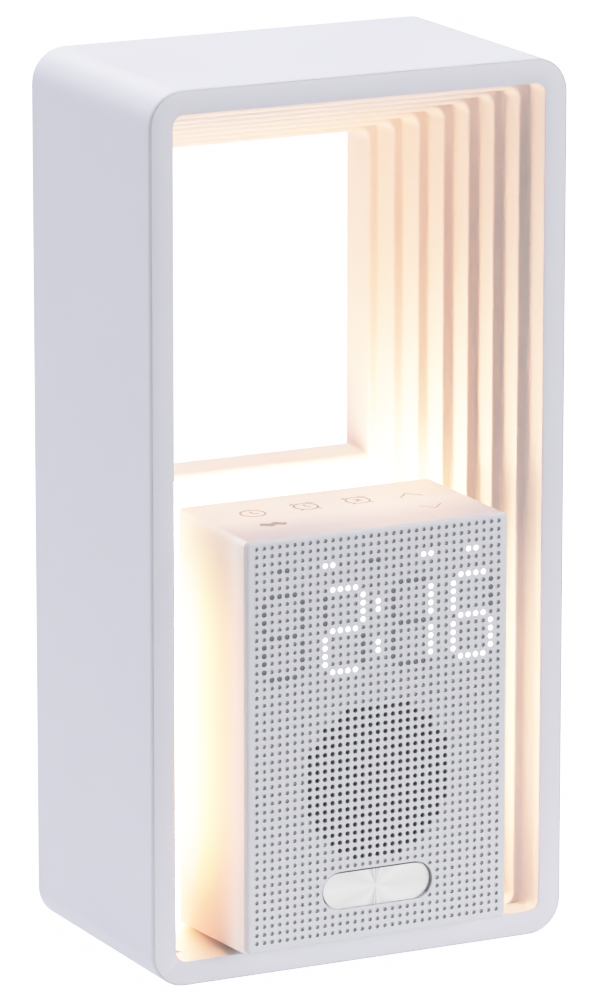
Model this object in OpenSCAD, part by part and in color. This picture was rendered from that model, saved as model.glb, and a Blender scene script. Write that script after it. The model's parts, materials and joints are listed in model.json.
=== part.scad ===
// Sunrise alarm clock: a rounded upright frame with a stepped inner funnel, a lamp
// panel low in its back, a see-through window above the lamp, and a clock and
// speaker unit that stands on the frame's floor in front of the lamp.
// Millimetres, +Z up, the front faces -Y. The origin is at the middle of the
// footprint, on the surface the clock stands on.

/* [Frame] */
// Overall width of the frame
frame_w = 130.4; // [129.4:0.2:133]
// Height of the frame without its feet
frame_h = 256.8; // [254:0.2:262]
// Depth of the frame, front face to back face
frame_d = 77.4; // [77.4:0.2:82]
// Outer corner radius of the frame, seen from the front
corner_r = 10.1; // [8.5:0.1:12]
// Width of the flat front rim
rim = 7.2; // [6.8:0.1:7.3]
// Wall thickness of the moulded shells
wall = 1.8; // [1.6:0.1:2]

/* [Stepped funnel] */
// Sideways setback of each step
step_x = 3.3; // [3.1:0.05:3.35]
// Downward setback of each step under the top
step_z = 3.22; // [3:0.02:3.3]
// Depth of each step's tread
step_d = 9; // [9:0.02:9.2]
// Inner corner radius of every step
inner_r = 3.3; // [2.5:0.1:4]
// Height of the window sill above the frame's underside
sill_z = 131.8; // [131:0.2:135]

/* [Clock unit] */
// Width of the clock unit
clock_w = 82.4; // [82:0.2:84]
// Distance that the clock unit stands out in front of the frame
clock_out = 11.1; // [10.9:0.1:11.5]
// Position of the clock unit's back face behind the frame's front face
clock_back = 35; // [34.5:0.5:38]
// Height of the clock unit's top face
clock_top = 129.8; // [129.6:0.1:130.6]
// Height of the clock unit's underside at its front
clock_low_front = 10.2; // [9.6:0.1:10.4]
// Height of the clock unit's underside at its back
clock_low_back = 8.2; // [8:0.1:9]

/* [Grille and button] */
// Pitch of the hole grid
pitch = 2.385; // [2.37:0.005:2.39]
// Diameter of a display window in the grille
window_d = 1.6; // [1.2:0.1:1.8]
// Diameter of a sound hole in the grille
sound_d = 1.2; // [0.8:0.1:1.4]
// Length of the pill-shaped button
pill_l = 34.5; // [30:0.5:35]
// Height of the pill-shaped button
pill_h = 11; // [10:0.2:11]
// Travel of the button
pill_travel = 0.8; // [0.4:0.1:0.8]

/* [Feet] */
// Height that the rubber feet stand out below the frame
foot_h = 0.8; // [0.6:0.1:1.2]
// Radius of a rubber foot
foot_r = 6; // [5:0.5:7]

/* [Hidden] */

$fn = 64;
STEPS = 7;                       // risers between the front opening and the window
half_w = frame_w / 2;
sleeve_t = 2;                    // wall of the outer sleeve
y_step = STEPS * step_d;         // front plane of the lamp panel
z_row0 = clock_top - 2.22;       // centre height of the top row of holes
plate_t = 2;                     // thickness of the grille plate
y_face = -clock_out;             // front plane of the clock unit
y_seam = y_face + plate_t;       // joint between grille plate and case
cw2 = clock_w / 2;
z_spk = z_row0 - 30 * pitch;     // speaker axis
z_btn = z_row0 - 43 * pitch;     // button axis
tray_x = 36.9;                   // half width of the lamp tray
screw_y = [12, 26];              // rows of the plinth screws
screw_x = 20;
boss_x = half_w - 13;            // rear cover screw posts
boss_z = [14, 128, frame_h - 14.8];
jack_x = 51;
jack_z = 32;
LIGHT = [0.93, 0.93, 0.94];
GREY = [0.78, 0.79, 0.82];
BOARD = [0.10, 0.30, 0.18];
STEEL = [0.72, 0.73, 0.75];
BLACK = [0.08, 0.08, 0.09];

function open_x(j) = half_w - rim - step_x * j;
function open_z(j) = frame_h - rim - step_z * j;
function row_z(k) = z_row0 - k * pitch;
// Height of the clock unit's sloping underside at depth y
function low_z(y) = clock_low_back
    + (clock_low_front - clock_low_back) * (clock_back - y) / (clock_back + clock_out);
// Columns and rows of the seven-segment digits, four dots to a segment
digit_cols = [-15, -7, 2, 10];
digit_dots = concat(
    [for (s = digit_cols) for (r = [6, 11, 16]) for (c = [1 : 4]) [s + c, r]],
    [for (s = digit_cols) for (r = [7, 8, 9, 10, 12, 13, 14, 15]) for (c = [0, 5]) [s + c, r]]);
colon_dots = [for (r = [8, 9, 13, 14]) [0, r]];
mark_dots = [for (c = [-13, -12, -7, -6, -1, 0, 6, 7, 12, 13]) [c, 3]];
led_dots = concat(digit_dots, colon_dots, mark_dots);
// Sound holes fill a disc of nineteen rows, a little above the speaker's axis
sound_dots = [for (k = [21 : 39]) for (c = [-9 : 9])
    if (abs(c) <= floor(sqrt(95.7 - (k - 29.8) * (k - 29.8)))) [c, k]];

// ---- placing and shape helpers ------------------------------------------------

// From the frame's own coordinates (front face at y 0, underside at z 0)
module placed() {
    translate([0, -(frame_d - clock_out) / 2, foot_h]) children();
}

// Rounded rectangle in the X-Z plane, with its own top and bottom radii
module rr(x0, z0, x1, z1, rt, rb) {
    union() {
        translate([x0 + rb, z0]) square([x1 - x0 - 2 * rb, z1 - z0 - rt]);
        translate([x0 + rt, z0 + rb]) square([x1 - x0 - 2 * rt, z1 - z0 - rb]);
        translate([x0, z0 + rb]) square([x1 - x0, z1 - z0 - rt - rb]);
        for (x = [x0 + rb, x1 - rb]) translate([x, z0 + rb]) circle(r = rb);
        for (x = [x0 + rt, x1 - rt]) translate([x, z1 - rt]) circle(r = rt);
    }
}

// Outline with straight sides and round ends
module pill(half_len, r, zc) {
    union() {
        translate([-(half_len - r), zc - r]) square([2 * (half_len - r), 2 * r]);
        for (s = [-1, 1]) translate([s * (half_len - r), zc]) circle(r = r);
    }
}

// A 2D outline in X-Z, made solid from depth y0 to depth y1
module slab(y0, y1) {
    translate([0, y1, 0]) rotate([90, 0, 0]) linear_extrude(height = y1 - y0) children();
}

// A 2D outline in Y-Z, made solid from x0 to x1
module xprism(x0, x1) {
    translate([x0, 0, 0]) rotate([90, 0, 90]) linear_extrude(height = x1 - x0) children();
}

module bx(x0, x1, y0, y1, z0, z1) {
    translate([x0, y0, z0]) cube([x1 - x0, y1 - y0, z1 - z0]);
}

module ycyl(x, z, r, y0, y1) {
    translate([x, y0, z]) rotate([-90, 0, 0]) cylinder(h = y1 - y0, r = r, $fn = 48);
}

module ycone(x, z, r0, r1, y0, y1) {
    translate([x, y0, z]) rotate([-90, 0, 0]) cylinder(h = y1 - y0, r1 = r0, r2 = r1, $fn = 48);
}

module zcyl(x, y, r, z0, z1) {
    translate([x, y, z0]) cylinder(h = z1 - z0, r = r, $fn = 48);
}

// A ring-shaped profile turned about the speaker's axis
module yturn(zc) {
    translate([0, 0, zc]) rotate([-90, 0, 0]) rotate_extrude($fn = 96) children();
}

// Pan-head screw along Y: head from y_head to y_head + h, shank to y_tip
module yscrew(x, z, head_r, head_h, shank_r, y_seat, y_tip) {
    if (y_tip < y_seat) {
        difference() {
            union() {
                ycyl(x, z, head_r, y_seat, y_seat + head_h);
                ycyl(x, z, shank_r, y_tip, y_seat + 0.1);
            }
            for (a = [0, 90]) translate([x, y_seat + head_h, z]) rotate([0, a, 0])
                cube([head_r * 1.2, head_h, head_r * 0.32], center = true);
        }
    } else {
        difference() {
            union() {
                ycyl(x, z, head_r, y_seat - head_h, y_seat);
                ycyl(x, z, shank_r, y_seat - 0.1, y_tip);
            }
            for (a = [0, 90]) translate([x, y_seat - head_h, z]) rotate([0, a, 0])
                cube([head_r * 1.2, head_h, head_r * 0.32], center = true);
        }
    }
}

// A round lead through straight stretches between the given points
module lead(points, r) {
    for (i = [0 : len(points) - 2]) hull() {
        translate(points[i]) sphere(r = r, $fn = 10);
        translate(points[i + 1]) sphere(r = r, $fn = 10);
    }
}

module opening(j) {
    rr(-open_x(j), rim, open_x(j), open_z(j), inner_r, inner_r);
}

module opening_grown(j, g) {
    rr(-open_x(j) - g, rim - g, open_x(j) + g, open_z(j) + g, inner_r + g, inner_r + g);
}

module window(g) {
    rr(-open_x(STEPS) - g, sill_z - g, open_x(STEPS) + g, open_z(STEPS) + g,
        inner_r + g, 1 + g);
}

module frame_outline(inset) {
    rr(-half_w + inset, inset, half_w - inset, frame_h - inset,
        corner_r - inset, corner_r - inset);
}

// ---- frame --------------------------------------------------------------------

// Outer tube of the frame, with a ledge near the back for the rear cover
module outer_sleeve() color(LIGHT) placed() {
    difference() {
        union() {
            slab(1.3, frame_d) difference() {
                frame_outline(0);
                frame_outline(sleeve_t);
            }
            slab(frame_d - 3.5, frame_d - 2) difference() {
                frame_outline(sleeve_t - 0.2);
                frame_outline(sleeve_t + 1.6);
            }
        }
        for (x = [-50, 50]) for (y = [11, frame_d - 12])
            zcyl(x, y, foot_r + 0.15, -1, 0.8);
        for (x = [-screw_x, screw_x]) for (y = screw_y) zcyl(x, y, 3.3, -1, 4);
    }
}

// Front rim, stepped funnel, floor, window reveal and sill in one moulding
module stepped_liner() color(LIGHT) placed() {
    difference() {
        union() {
            slab(0, 0.9) frame_outline(0);
            slab(0.8, 1.3) frame_outline(0.4);
            slab(1.2, 1.9) frame_outline(sleeve_t + 0.1);
            for (j = [0 : STEPS - 1])
                slab(j * step_d + 0.5, (j + 1) * step_d + wall) opening_grown(j, wall);
            slab(y_step, frame_d) window(wall);
            slab(1.8, 4.8) difference() {
                frame_outline(sleeve_t + 0.1);
                frame_outline(sleeve_t + 1.4);
            }
            for (s = [-1, 1]) for (z = boss_z) ycyl(s * boss_x, z, 3.4, 28.6, frame_d - 2);
        }
        for (j = [0 : STEPS - 1]) slab(-1, (j + 1) * step_d) opening(j);
        slab(-1, frame_d + 1) window(0);
        // seat of the lamp's diffuser
        slab(y_step - 1, y_step + wall + 1) rr(-37.2, 8.1, 37.2, sill_z - wall, 0.6, 2);
        for (s = [-1, 1]) for (z = boss_z) ycyl(s * boss_x, z, 1.2, 61, frame_d);
        for (x = [-screw_x, screw_x]) for (y = screw_y) zcyl(x, y, 1.7, 2, 10);
        zcyl(0, 19, 4, 2, 10);
    }
}

// Plate that closes the back of the frame round the window
module rear_cover() color(LIGHT) placed() {
    difference() {
        union() {
            slab(frame_d - 2, frame_d) frame_outline(sleeve_t + 0.15);
            // saddle walls beside the inlet
            bx(jack_x - 6, jack_x - 4.6, frame_d - 14, frame_d - 1.9, jack_z - 5, jack_z + 5.5);
            bx(jack_x + 4.6, jack_x + 6, frame_d - 14, frame_d - 1.9, jack_z - 5, jack_z + 5.5);
        }
        slab(frame_d - 3, frame_d + 1) window(wall + 0.15);
        for (s = [-1, 1]) for (z = boss_z) {
            ycyl(s * boss_x, z, 1.6, frame_d - 3, frame_d + 1);
            ycone(s * boss_x, z, 1.6, 3.1, frame_d - 1.5, frame_d + 0.001);
        }
        ycyl(jack_x, jack_z, 4.3, frame_d - 3, frame_d + 1);
        // shallow bare recess below the window
        slab(frame_d - 0.4, frame_d + 1) rr(-26, 62, 26, 96, 2, 2);
    }
}

// Countersunk screws of the rear cover
module rear_cover_screws() color(STEEL) placed() {
    for (s = [-1, 1]) for (z = boss_z) difference() {
        union() {
            ycone(s * boss_x, z, 1.5, 2.9, frame_d - 1.5, frame_d - 0.1);
            ycyl(s * boss_x, z, 1.15, frame_d - 14, frame_d - 1.4);
        }
        for (a = [0, 90]) translate([s * boss_x, frame_d - 0.1, z]) rotate([0, a, 0])
            cube([3, 1.4, 0.7], center = true);
    }
}

// ---- lamp ---------------------------------------------------------------------

// Opal front of the lamp, flush with the last step, held by a flange behind it
module light_diffuser() color([1.0, 0.95, 0.82]) placed() {
    union() {
        slab(y_step, y_step + wall + 0.1) rr(-37.1, 8.2, 37.1, sill_z - wall - 0.1, 0.5, 1.9);
        slab(y_step + wall, y_step + wall + 1.5) rr(-38.8, 7.2, 38.8, sill_z - wall - 0.1, 0.5, 2);
    }
}

// White reflector tray behind the diffuser
module light_tray() color([0.96, 0.96, 0.95]) placed() {
    y0 = y_step + wall + 1.5;
    y1 = frame_d - 2.1;
    difference() {
        slab(y0, y1) rr(-tray_x, 8.4, tray_x, sill_z - wall - 0.3, 1, 2);
        slab(y0 - 1, y1 - 1.5) rr(-tray_x + 1.4, 9.8, tray_x - 1.4, sill_z - wall - 1.7, 0.6, 1);
        for (x = [-31, 31]) for (z = [20, 118]) ycyl(x, z, 1, y1 - 2, y1 + 1);
        // outlet of the lamp's lead
        translate([-tray_x, y1 - 4.4, 14]) rotate([0, 90, 0]) cylinder(h = 6, r = 1.6, center = true, $fn = 32);
    }
}

// Aluminium-backed board of the lamp
module lamp_board() color([0.95, 0.95, 0.93]) placed() {
    y1 = frame_d - 3.6;
    difference() {
        bx(-34, 34, y1 - 1.6, y1, 12, 126);
        for (x = [-31, 31]) for (z = [20, 118]) ycyl(x, z, 1.2, y1 - 3, y1 + 1);
    }
}

// Warm light-emitting packages of the lamp
module lamp_leds() color([1.0, 0.85, 0.45]) placed() {
    y1 = frame_d - 5.2;
    for (i = [-2 : 2]) for (k = [0 : 8])
        bx(i * 13 - 1.75, i * 13 + 1.75, y1 - 0.8, y1, 15.6 + k * 13 - 1.4, 15.6 + k * 13 + 1.4);
}

module lamp_board_screws() color(STEEL) placed() {
    for (x = [-31, 31]) for (z = [20, 118])
        yscrew(x, z, 2, 1.1, 0.95, frame_d - 5.2, frame_d - 2.3);
}

// ---- clock unit ---------------------------------------------------------------

// Plan outline of the clock case with rounded back corners
module case_plan(inset, r) {
    union() {
        translate([-cw2 + inset, y_seam]) square([clock_w - 2 * inset, clock_back - inset - r - y_seam]);
        translate([-cw2 + inset + r, y_seam]) square([clock_w - 2 * inset - 2 * r, clock_back - inset - y_seam]);
        for (s = [-1, 1]) translate([s * (cw2 - inset - r), clock_back - inset - r]) circle(r = r);
    }
}

// Everything below the sloping underside, raised by the given amount
module under_slope(up) {
    xprism(-60, 60) polygon([[-20, low_z(-20) + up], [50, low_z(50) + up], [50, -5], [-20, -5]]);
}

// Box of the clock unit: top, sides, back and sloping underside
module clock_case() color(LIGHT) placed() {
    t = 2;
    difference() {
        union() {
            difference() {
                intersection() {
                    slab(y_seam, clock_back) rr(-cw2, 4, cw2, clock_top, 2.2, 1);
                    linear_extrude(height = 140) case_plan(0, 3.5);
                }
                difference() {
                    intersection() {
                        slab(y_seam - 1, clock_back - t) rr(-cw2 + t, 4, cw2 - t, clock_top - t, 0.8, 0.8);
                        translate([0, 0, 1]) linear_extrude(height = 140) union() {
                            case_plan(t, 1.5);
                            translate([-cw2 + t, y_seam - 2]) square([clock_w - 2 * t, 4]);
                        }
                    }
                    under_slope(t);
                }
            }
            for (x = [-screw_x, screw_x]) for (y = screw_y) zcyl(x, y, 3.2, 4, 20);
            for (x = [-32, 32]) for (z = [38, 114]) ycyl(x, z, 3, 21.6, clock_back - 1);
        }
        under_slope(0);
        for (x = [-screw_x, screw_x]) for (y = screw_y) zcyl(x, y, 1.25, 2, 18);
        for (x = [-32, 32]) for (z = [38, 114]) ycyl(x, z, 0.9, 20, 28);
        zcyl(0, 19, 4, 2, 14);
    }
}

// Front plate with display windows, sound holes, the button's slot and fixing posts
module front_grille() color(GREY) placed() {
    difference() {
        union() {
            slab(y_face, y_face + 0.5) rr(-cw2 + 0.5, clock_low_front + 0.5, cw2 - 0.5, clock_top - 0.5, 1.7, 1);
            slab(y_face + 0.5, y_seam) rr(-cw2, clock_low_front, cw2, clock_top, 2.2, 1.5);
            // lip that snaps into the case
            slab(y_seam - 0.1, y_seam + 2.5) difference() {
                rr(-cw2 + 2.15, clock_low_front + 2.3, cw2 - 2.15, clock_top - 2.15, 0.7, 0.7);
                rr(-cw2 + 3.35, clock_low_front + 3.5, cw2 - 3.35, clock_top - 3.35, 0.6, 0.6);
            }
            for (x = [-34.5, 34.5]) for (z = [row_z(1.5), row_z(17.5)])
                ycyl(x, z, 1.7, y_seam - 0.1, y_seam + 1.7);
            for (x = [-18, 18]) for (z = [-18, 18])
                ycyl(x, z_spk + z, 1.9, y_seam - 0.1, y_seam + 0.7);
            // wall round the button's flange
            slab(y_seam - 0.1, y_seam + 1.6) difference() {
                pill(pill_l / 2 + 1.6, pill_h / 2 + 1.6, z_btn);
                pill(pill_l / 2 + 0.8, pill_h / 2 + 0.8, z_btn);
            }
            for (x = [-24, 24]) ycyl(x, z_btn, 2.4, y_seam - 0.1, y_seam + 7.1);
        }
        slab(y_face - 1, y_seam + 0.1) pill(pill_l / 2 + 0.3, pill_h / 2 + 0.3, z_btn);
        for (p = led_dots) ycyl(p[0] * pitch, row_z(p[1]), window_d / 2, y_face - 1, y_seam + 1);
        for (p = sound_dots) ycyl(p[0] * pitch, row_z(p[1]), sound_d / 2, y_face - 1, y_seam + 0.2);
        for (x = [-34.5, 34.5]) for (z = [row_z(1.5), row_z(17.5)])
            ycyl(x, z, 0.85, y_face + 0.8, y_seam + 3);
        for (x = [-18, 18]) for (z = [-18, 18])
            ycyl(x, z_spk + z, 0.85, y_face + 0.8, y_seam + 3);
        for (x = [-24, 24]) ycyl(x, z_btn, 0.85, y_seam + 1, y_seam + 8);
    }
}

// Black light baffle between the display's lamps and the grille
module display_mask() color(BLACK) placed() {
    difference() {
        bx(-37, 37, y_seam, y_seam + 1.7, row_z(16) - 1.8, row_z(3) + 1.8);
        for (p = led_dots)
            bx(p[0] * pitch - 0.75, p[0] * pitch + 0.75, y_seam - 1, y_seam + 3,
                row_z(p[1]) - 0.75, row_z(p[1]) + 0.75);
    }
}

module display_board() color(BOARD) placed() {
    difference() {
        bx(-37.4, 37.4, y_seam + 1.7, y_seam + 3.3, row_z(18.2), row_z(0.6));
        for (x = [-34.5, 34.5]) for (z = [row_z(1.5), row_z(17.5)])
            ycyl(x, z, 1.0, y_seam, y_seam + 5);
    }
}

module display_leds() color([0.95, 0.95, 1.0]) placed() {
    for (p = led_dots)
        bx(p[0] * pitch - 0.5, p[0] * pitch + 0.5, y_seam + 1, y_seam + 1.7,
            row_z(p[1]) - 0.5, row_z(p[1]) + 0.5);
}

module display_screws() color(STEEL) placed() {
    for (x = [-34.5, 34.5]) for (z = [row_z(1.5), row_z(17.5)])
        yscrew(x, z, 1.8, 1.2, 0.8, y_seam + 3.3, y_face + 1);
}

// ---- button -------------------------------------------------------------------

// Pill-shaped metal key with its flange, centre stem and two guide pins
module snooze_button() color([0.80, 0.81, 0.83]) placed() {
    union() {
        slab(y_face + 1.1, y_seam + 0.3) pill(pill_l / 2, pill_h / 2, z_btn);
        slab(y_seam + 0.1, y_seam + 1.3) pill(pill_l / 2 + 0.45, pill_h / 2 + 0.45, z_btn);
        ycyl(0, z_btn, 2, y_seam + 1.2, y_seam + 2.2);
        for (x = [-12, 12]) ycyl(x, z_btn, 1.2, y_seam + 1.2, y_seam + 9.3 + pill_travel);
    }
}

// Centre line of a coil spring about Y
function coil(turns, r, y0, y1, n) =
    [for (i = [0 : turns * n]) [r * cos(360 * i / n), y0 + (y1 - y0) * i / (turns * n), r * sin(360 * i / n)]];

// A round wire along a coil, as one closed surface
module coil_spring(turns, r, wire_r, y0, y1) {
    n = 14;
    s = 6;
    c = coil(turns, r, y0, y1, n);
    m = len(c);
    pts = [for (i = [0 : m - 1]) for (k = [0 : s - 1])
        let (a = 360 * i / n, b = 360 * k / s)
        [c[i][0] + wire_r * cos(b) * cos(a), c[i][1] + wire_r * sin(b), c[i][2] + wire_r * cos(b) * sin(a)]];
    sides = [for (i = [0 : m - 2]) for (k = [0 : s - 1])
        [i * s + k, i * s + (k + 1) % s, (i + 1) * s + (k + 1) % s, (i + 1) * s + k]];
    polyhedron(points = pts, faces = concat([[for (k = [s - 1 : -1 : 0]) k]], sides,
        [[for (k = [0 : s - 1]) (m - 1) * s + k]]));
}

module button_springs() color(STEEL) placed() {
    for (x = [-12, 12]) translate([x, 0, z_btn])
        coil_spring(4, 1.75, 0.2, y_seam + 1.55, y_seam + 6.85);
}

module switch_plunger() color(BLACK) placed() {
    ycyl(0, z_btn, 1.72, y_seam + 2.2, y_seam + 4.9);
}

module tact_switch() color([0.35, 0.35, 0.37]) placed() {
    difference() {
        bx(-3, 3, y_seam + 3.6, y_seam + 7.1, z_btn - 3, z_btn + 3);
        ycyl(0, z_btn, 1.8, y_seam + 3, y_seam + 5.1 + pill_travel);
    }
}

module button_board() color(BOARD) placed() {
    difference() {
        bx(-27, 27, y_seam + 7.1, y_seam + 8.7, z_btn - 6.2, z_btn + 6.2);
        for (x = [-12, 12]) ycyl(x, z_btn, 1.27, y_seam + 6, y_seam + 10);
        for (x = [-24, 24]) ycyl(x, z_btn, 1.0, y_seam + 6, y_seam + 10);
    }
}

module button_board_screws() color(STEEL) placed() {
    for (x = [-24, 24]) yscrew(x, z_btn, 1.8, 1.2, 0.8, y_seam + 8.7, y_seam + 3);
}

// ---- speaker ------------------------------------------------------------------

module acoustic_cloth() color(BLACK) placed() {
    slab(y_seam, y_seam + 0.2) translate([0, z_spk]) circle(r = 23.4);
}

module speaker_gasket() color(BLACK) placed() {
    yturn(z_spk) polygon([[21.2, y_seam + 0.2], [23.4, y_seam + 0.2],
        [23.4, y_seam + 0.7], [21.2, y_seam + 0.7]]);
}

// Pressed basket with four windows and four ears
module speaker_frame() color([0.25, 0.25, 0.27]) placed() {
    y = y_seam;
    difference() {
        union() {
            yturn(z_spk) polygon([[20.9, y + 0.7], [23.5, y + 0.7], [23.5, y + 1.9],
                [22.2, y + 1.9], [16.6, y + 10.8], [16.6, y + 11.8], [8.3, y + 11.8],
                [8.3, y + 10.6], [14.2, y + 10.6], [14.2, y + 10.35], [15.55, y + 10.35],
                [20.9, y + 1.9]]);
            for (sx = [-18, 18]) for (sz = [-18, 18]) ycyl(sx, z_spk + sz, 2.6, y + 0.7, y + 1.9);
        }
        for (sx = [-18, 18]) for (sz = [-18, 18]) ycyl(sx, z_spk + sz, 1.0, y, y + 3);
        for (s = [-1, 1]) {
            bx(min(s * 12, s * 25), max(s * 12, s * 25), y + 3.4, y + 9.4, z_spk - 6, z_spk + 6);
            bx(-6, 6, y + 3.4, y + 9.4, z_spk + min(s * 12, s * 25), z_spk + max(s * 12, s * 25));
        }
    }
}

// Half-round roll of rubber between the cone and the basket
module speaker_surround() color(BLACK) placed() {
    y = y_seam;
    arc = [for (a = [180 : -15 : 0]) a];
    yturn(z_spk) polygon(concat(
        [[17.0, y + 2.2], [17.0, y + 1.9]],
        [for (a = arc) [18.9 + 1.4 * cos(a), y + 1.9 - 1.3 * sin(a)]],
        [[20.6, y + 1.9], [20.6, y + 2.2]],
        [for (a = [0 : 15 : 180]) [18.9 + 1.1 * cos(a), y + 2.2 - 1.3 * sin(a)]]));
}

// Paper cone, dust cap and voice coil former
module speaker_cone() color([0.2, 0.2, 0.22]) placed() {
    y = y_seam;
    union() {
        yturn(z_spk) polygon([[7.2, y + 9.3], [7.2, y + 8.6], [16.6, y + 2.3],
            [16.95, y + 2.3], [16.95, y + 2.8], [7.7, y + 9.4]]);
        yturn(z_spk) polygon([[6.95, y + 8.4], [7.45, y + 8.4], [7.45, y + 15.2], [6.95, y + 15.2]]);
        yturn(z_spk) polygon([[0, y + 5.2], [2.5, y + 5.4], [5, y + 6.3], [7.4, y + 8.2],
            [7.4, y + 8.9], [6.9, y + 8.7], [4.8, y + 6.8], [2.4, y + 5.9], [0, y + 5.7]]);
    }
}

// Sprung disc that centres the voice coil
module speaker_spider() color([0.85, 0.75, 0.5]) placed() {
    y = y_seam;
    yturn(z_spk) polygon([[7.5, y + 10.0], [8.4, y + 10.0], [9.2, y + 9.6], [10.0, y + 9.6],
        [10.8, y + 10.0], [11.6, y + 10.0], [12.4, y + 9.6], [13.2, y + 9.6], [14.0, y + 10.0],
        [15.4, y + 10.0], [15.4, y + 10.3], [13.9, y + 10.3], [13.1, y + 9.9], [12.5, y + 9.9],
        [11.7, y + 10.3], [10.7, y + 10.3], [9.9, y + 9.9], [9.3, y + 9.9], [8.5, y + 10.3],
        [7.5, y + 10.3]]);
}

module speaker_top_plate() color(STEEL) placed() {
    y = y_seam;
    yturn(z_spk) polygon([[8.1, y + 11.8], [15, y + 11.8], [15, y + 13.3], [8.1, y + 13.3]]);
}

module speaker_magnet() color([0.15, 0.15, 0.16]) placed() {
    y = y_seam;
    yturn(z_spk) polygon([[8.8, y + 13.3], [15, y + 13.3], [15, y + 18.3], [8.8, y + 18.3]]);
}

module speaker_yoke() color(STEEL) placed() {
    y = y_seam;
    yturn(z_spk) polygon([[0, y + 11.8], [6.4, y + 11.8], [6.4, y + 18.3],
        [15, y + 18.3], [15, y + 20.3], [0, y + 20.3]]);
}

module speaker_screws() color(STEEL) placed() {
    for (sx = [-18, 18]) for (sz = [-18, 18])
        yscrew(sx, z_spk + sz, 1.8, 1.2, 0.8, y_seam + 1.9, y_face + 1);
}

// ---- electronics --------------------------------------------------------------

module main_board() color(BOARD) placed() {
    difference() {
        bx(-36, 36, 20, 21.6, 33, 119);
        for (x = [-32, 32]) for (z = [38, 114]) ycyl(x, z, 1.0, 19, 23);
    }
}

// Chips, capacitors and sockets on the boards
module board_components() color([0.12, 0.12, 0.13]) placed() {
    bx(6, 18, 18.6, 20, 88, 100);
    bx(-4, 1, 18.8, 20, 84, 92);
    bx(-24, -16, 18.8, 20, 76, 80);
    ycyl(-24, 104, 4, 12.5, 20);
    ycyl(-13, 104, 4, 12.5, 20);
    ycyl(26, 82, 3.2, 13.5, 20);
    bx(-6, 6, 14.5, 20, 34, 40);
    bx(-29, -17, 16.5, 20, 90, 94);
    bx(14, 22, 16, 20, 46, 51);
    bx(-10, 2, y_seam + 3.3, y_seam + 4.6, 96, 104);
    bx(14, 26, y_seam + 3.3, y_seam + 4.6, 96, 104);
    bx(-29, -17, y_seam + 3.3, y_seam + 5.8, 90, 94);
    bx(8, 14, 22.7 - 1.1, 23.6, 100, 108);
}

module board_screws() color(STEEL) placed() {
    for (x = [-32, 32]) for (z = [38, 114])
        yscrew(x, z, 1.8, 1.2, 0.8, 20, 27);
}

// Moulded ring that holds the back-up cell on the main board
module coin_cell_holder() color(BLACK) placed() {
    difference() {
        ycyl(-10, 72, 12, 21.6, 25.6);
        ycyl(-10, 72, 10.15, 22.2, 26);
        bx(-15, -5, 22.2, 26, 58, 66);
    }
}

module coin_cell() color(STEEL) placed() {
    union() {
        ycyl(-10, 72, 10, 22.2, 25);
        ycyl(-10, 72, 8.8, 24.9, 25.4);
    }
}

module touch_board() color(BOARD) placed() {
    bx(-34, 34, 1, 29, clock_top - 3.8, clock_top - 2.8);
}

// Copper sensing pads under the top face's touch marks
module touch_pads() color([0.80, 0.5, 0.25]) placed() {
    for (p = [[-24.1, 19], [-7.2, 19], [9.3, 19], [28, 20.5], [28, 8]])
        zcyl(p[0], p[1], 4.2, clock_top - 2.8, clock_top - 2.05);
}

// ---- stand and inlet ----------------------------------------------------------

// Low plinth that carries the clock unit on the frame's floor
module mounting_plinth() color([0.3, 0.3, 0.32]) placed() {
    difference() {
        xprism(-27, 27) polygon([[7, rim], [31, rim], [31, low_z(31) - 0.02], [7, low_z(7) - 0.02]]);
        for (x = [-screw_x, screw_x]) for (y = screw_y) zcyl(x, y, 1.7, 2, 14);
        zcyl(0, 19, 4, 2, 14);
    }
}

module plinth_screws() color(STEEL) placed() {
    for (x = [-screw_x, screw_x]) for (y = screw_y) difference() {
        union() {
            zcyl(x, y, 2.75, rim - wall - 1.9, rim - wall);
            zcyl(x, y, 1.2, rim - wall - 0.1, 16);
        }
        for (a = [0, 90]) translate([x, y, rim - wall - 1.9]) rotate([0, 0, a])
            cube([3, 0.8, 1.6], center = true);
    }
}

// Barrel inlet: moulded body with a round mouth in the rear cover
module dc_jack() color(BLACK) placed() {
    difference() {
        union() {
            bx(jack_x - 4.5, jack_x + 4.5, frame_d - 15, frame_d - 2, jack_z - 5, jack_z + 5.5);
            ycyl(jack_x, jack_z, 4.0, frame_d - 2.1, frame_d - 0.2);
        }
        ycyl(jack_x, jack_z, 3.15, frame_d - 10.7, frame_d + 1);
        ycyl(jack_x, jack_z, 0.8, frame_d - 12.5, frame_d);
    }
}

// Centre contact of the inlet, with a thinner tail pressed into the body
module dc_jack_pin() color(STEEL) placed() {
    union() {
        ycyl(jack_x, jack_z, 1.0, frame_d - 10.7, frame_d - 1.2);
        ycyl(jack_x, jack_z, 0.79, frame_d - 12.4, frame_d - 10.6);
    }
}

// Lead from the inlet under the floor and up to the main board
module power_lead() color(BLACK) placed() {
    lead([[jack_x - 3, frame_d - 16.2, jack_z], [45, 58, jack_z - 3], [45, 58, 3.6],
        [30, 40, 3.6], [1.6, 32, 3.6], [1.6, 19, 3.6], [1.6, 17.5, 32.8]], 1.1);
}

// Lead from the lamp's board under the floor and up to the main board
module lamp_lead() color([0.85, 0.85, 0.85]) placed() {
    lead([[-35.4, frame_d - 6.5, 14], [-44.5, frame_d - 6.5, 14], [-44.5, 64, 3.6],
        [-30, 40, 3.6], [-1.6, 32, 3.6], [-1.6, 19, 3.6], [-1.6, 17.5, 32.8]], 1.1);
}

module speaker_lead() color([0.8, 0.1, 0.1]) placed() {
    lead([[17.6, 3.5, 49], [21, 8, 47], [18, 14.8, 48.4]], 0.7);
}

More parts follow.
